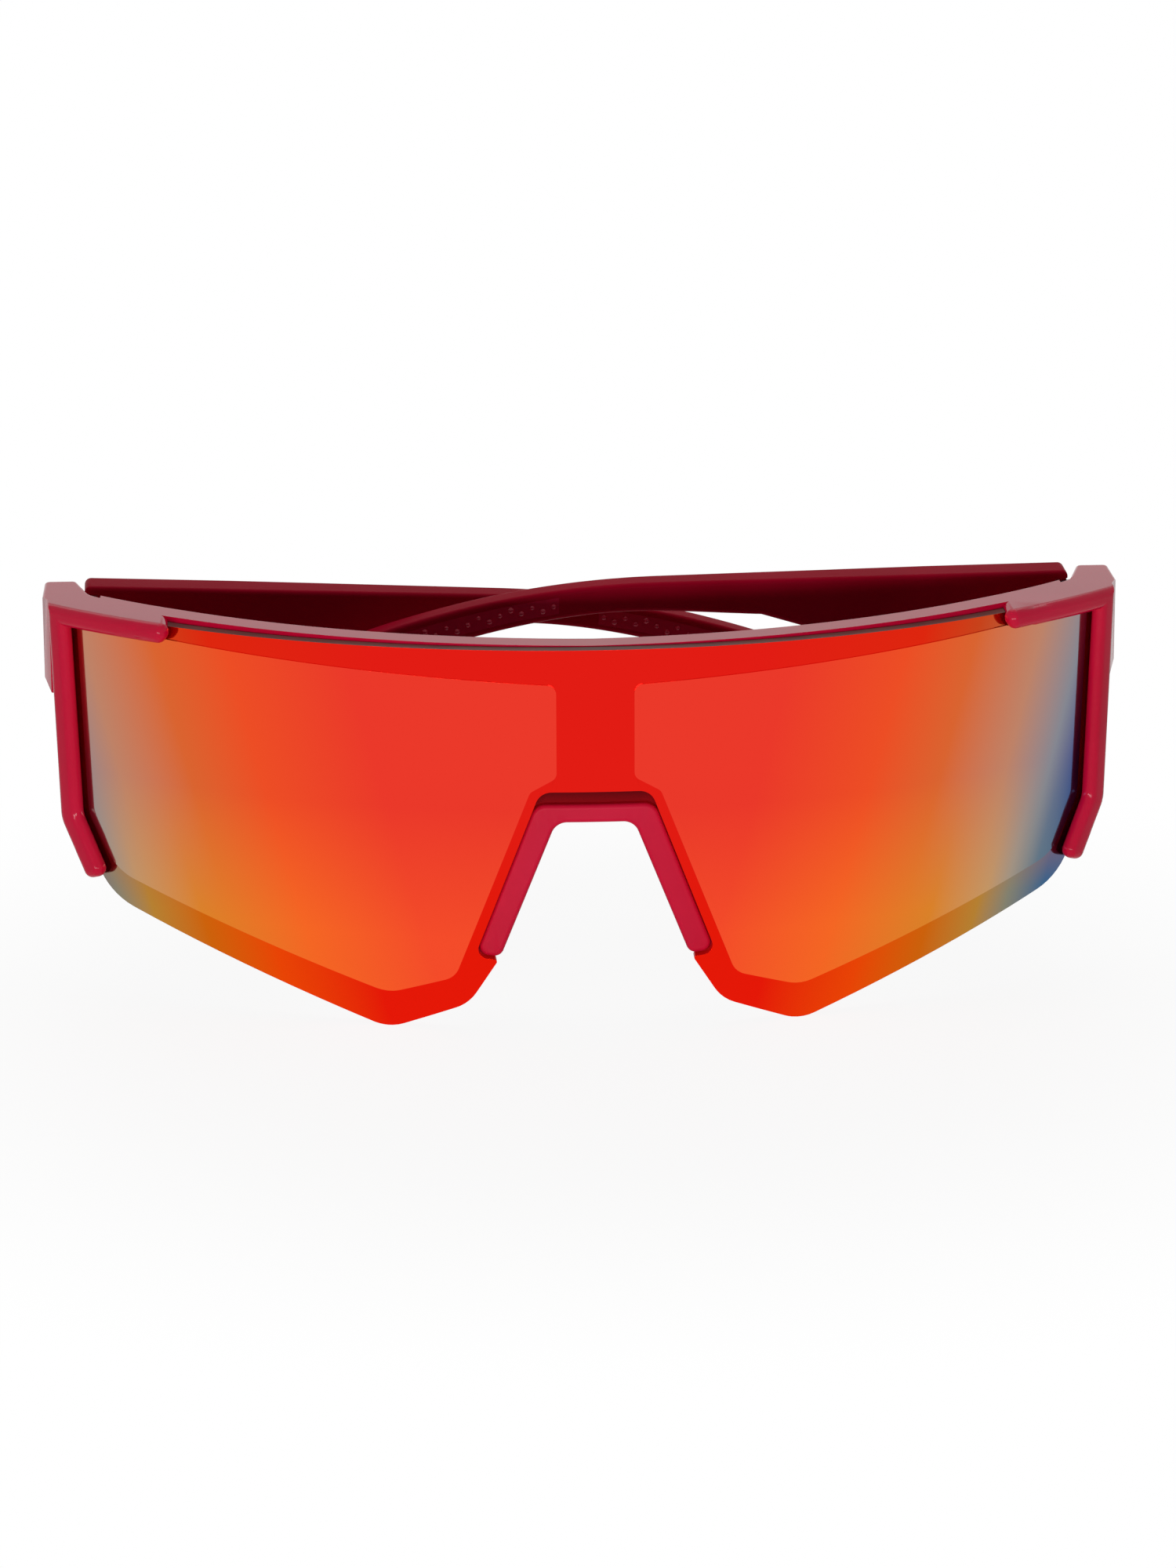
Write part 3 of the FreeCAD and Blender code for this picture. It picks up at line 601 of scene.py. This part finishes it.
def welded_copy(node, name):
    """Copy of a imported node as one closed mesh."""
    piece = bpy.data.objects.new(name, nodes[node].data.copy())
    bpy.context.scene.collection.objects.link(piece)
    alone(piece)
    bpy.ops.object.mode_set(mode="EDIT")
    bpy.ops.mesh.customdata_custom_splitnormals_clear()
    bpy.ops.mesh.select_all(action="SELECT")
    bpy.ops.mesh.remove_doubles(threshold=WELD)
    bpy.ops.mesh.select_mode(type="VERT")
    bpy.ops.mesh.select_all(action="DESELECT")
    bpy.ops.mesh.select_non_manifold()
    bpy.ops.mesh.merge(type="COLLAPSE")
    bpy.ops.mesh.select_all(action="SELECT")
    bpy.ops.mesh.dissolve_degenerate(threshold=WELD)
    bpy.ops.mesh.normals_make_consistent(inside=False)
    bpy.ops.object.mode_set(mode="OBJECT")
    return piece


def smooth(piece):
    """Shade smooth except at real corners, with large faces kept flat."""
    alone(piece)
    bpy.ops.object.shade_smooth_by_angle(angle=SHARP_ANGLE)
    finish_with(piece, "WEIGHTED_NORMAL", keep_sharp=True, weight=AREA_WEIGHT)


def dress(piece, material, body, slot, *stands_for):
    """Give a piece its finish, its body and the CAD nodes that it stands for."""
    piece.data.materials.clear()
    piece.data.materials.append(material)
    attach(piece, body)
    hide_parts(*stands_for)
    print(piece.name, "faces:", len(piece.data.polygons))


print("piece helpers are ready")

# %% [markdown]
# ## Frame, nose piece, temples and grips
# These six are mouldings: the frame holds the lens and both hinges, the nose piece sits in
# the cut-out of the lens, and each temple carries a soft grip with nubs near its tip. They
# could be modelled again from boxes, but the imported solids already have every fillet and
# nub. So each is a welded copy, which rides on the body of its solid and stands for it.

# %% Moulded pieces
for node, name, material, body, slot in (
    ("front_frame", "moulded_front_frame", frame_plastic, "front", "frame_plastic"),
    ("nose_piece", "moulded_nose_piece", nose_plastic, "front", "nose_plastic"),
    ("left_temple", "moulded_left_temple", temple_plastic, "left_arm", "temple_plastic"),
    ("right_temple", "moulded_right_temple", temple_plastic, "right_arm", "temple_plastic"),
    ("left_temple_grip", "soft_left_grip", grip_rubber, "left_arm", "grip_rubber"),
    ("right_temple_grip", "soft_right_grip", grip_rubber, "right_arm", "grip_rubber"),
):
    piece = welded_copy(node, name)
    smooth(piece)
    dress(piece, material, body, slot, node)

# %% [markdown]
# The lens, its seat and the flange of the nose piece all bend round one upright axis. So the
# distance of a face from that axis tells what the face is, which is surer than picking faces
# by number. The front faces of the flange lie as far from it as the seat of the lens. Above
# the arch they get the painted shade of the recess in a second slot.

# %% Recess of the nose piece
WRAP_AXIS = 98.0 * MM
WRAP_RADIUS = 103.0 * MM
LENS_THICKNESS = 2.0 * MM
SEAT_GAP = 0.2 * MM
SEAT_RADIUS = WRAP_RADIUS - LENS_THICKNESS - SEAT_GAP
NEAR = 0.03 * MM


def wrap_radii(piece, face):
    """Distances of the corners of a face from the upright axis of the wrap."""
    corners = [piece.data.vertices[index].co for index in face.vertices]
    return [math.hypot(corner.x, corner.y - WRAP_AXIS) for corner in corners]


def lie_on(radii, radius):
    """Whether all corners of a face lie on one shell of the wrap."""
    return all(abs(one - radius) < NEAR for one in radii)


nose = bpy.data.objects["moulded_nose_piece"]
nose.data.materials.append(recess_painted_shade)
recess_slot = nose.data.materials.find(recess_painted_shade.name)
recessed = 0
for face in nose.data.polygons:
    if face.center.z > RECESS_LOW and lie_on(wrap_radii(nose, face), SEAT_RADIUS):
        face.material_index = recess_slot
        recessed += 1
print("recessed faces of the nose piece:", recessed)

# %% [markdown]
# ## The lens
# The lens is one moulding with a mirror coat on its front only. Its imported mesh already has
# the raised eye panels. From the axis of the wrap, the panels lie furthest out, then the
# border, and the smoke back lies nearest. The small steps round the panels belong to the
# border. All other faces are the polished rim, which is smoky along the top. Lower down the
# rim has painted light: a red for light coming through the coat, and a painted glow. Each
# kind gets a material slot. A cut lens has its edges broken by a polishing wheel, so the
# triangles of each face are joined and the Bevel modifier takes a little off every sharp edge.

# %% Lens
PANEL_STEP = 0.2 * MM
LENS_ROUND = 0.12 * MM
LENS_ROUND_STEPS = 3
RIM_CHANGE = 15.0 * MM
FLAT_ANGLE = math.radians(0.4)

lens = welded_copy("shield_lens", "coated_lens")
bpy.ops.object.mode_set(mode="EDIT")
bpy.ops.mesh.select_all(action="SELECT")
bpy.ops.mesh.dissolve_limited(angle_limit=FLAT_ANGLE)
bpy.ops.object.mode_set(mode="OBJECT")
lens_slots = (border_coat, panel_coat, lens_back, top_rim, lower_rim_painted_light)
shells = (
    (border_coat, WRAP_RADIUS),
    (panel_coat, WRAP_RADIUS + PANEL_STEP),
    (lens_back, WRAP_RADIUS - LENS_THICKNESS),
)
lens.data.materials.clear()
for material in lens_slots:
    lens.data.materials.append(material)
counts = [0] * len(lens_slots)
for face in lens.data.polygons:
    radii = wrap_radii(lens, face)
    finish = top_rim if face.center.z > RIM_CHANGE else lower_rim_painted_light
    if min(radii) > WRAP_RADIUS - NEAR:
        finish = border_coat
    for coat, radius in shells:
        if lie_on(radii, radius):
            finish = coat
    face.material_index = lens_slots.index(finish)
    counts[face.material_index] += 1
print("border, panel, back, top rim and lower rim faces:", counts)
finish_with(
    lens, "BEVEL", width=LENS_ROUND, segments=LENS_ROUND_STEPS, limit_method="ANGLE",
    angle_limit=SHARP_ANGLE, use_clamp_overlap=True, miter_outer="MITER_ARC")
smooth(lens)
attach(lens, "front")
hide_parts("shield_lens")

# %% [markdown]
# ## Picture
# The Standard view shows a colour as it is written, where Blender's usual view would dull
# the strong reds.

# %% Picture settings
bpy.context.scene.view_settings.view_transform = "Standard"
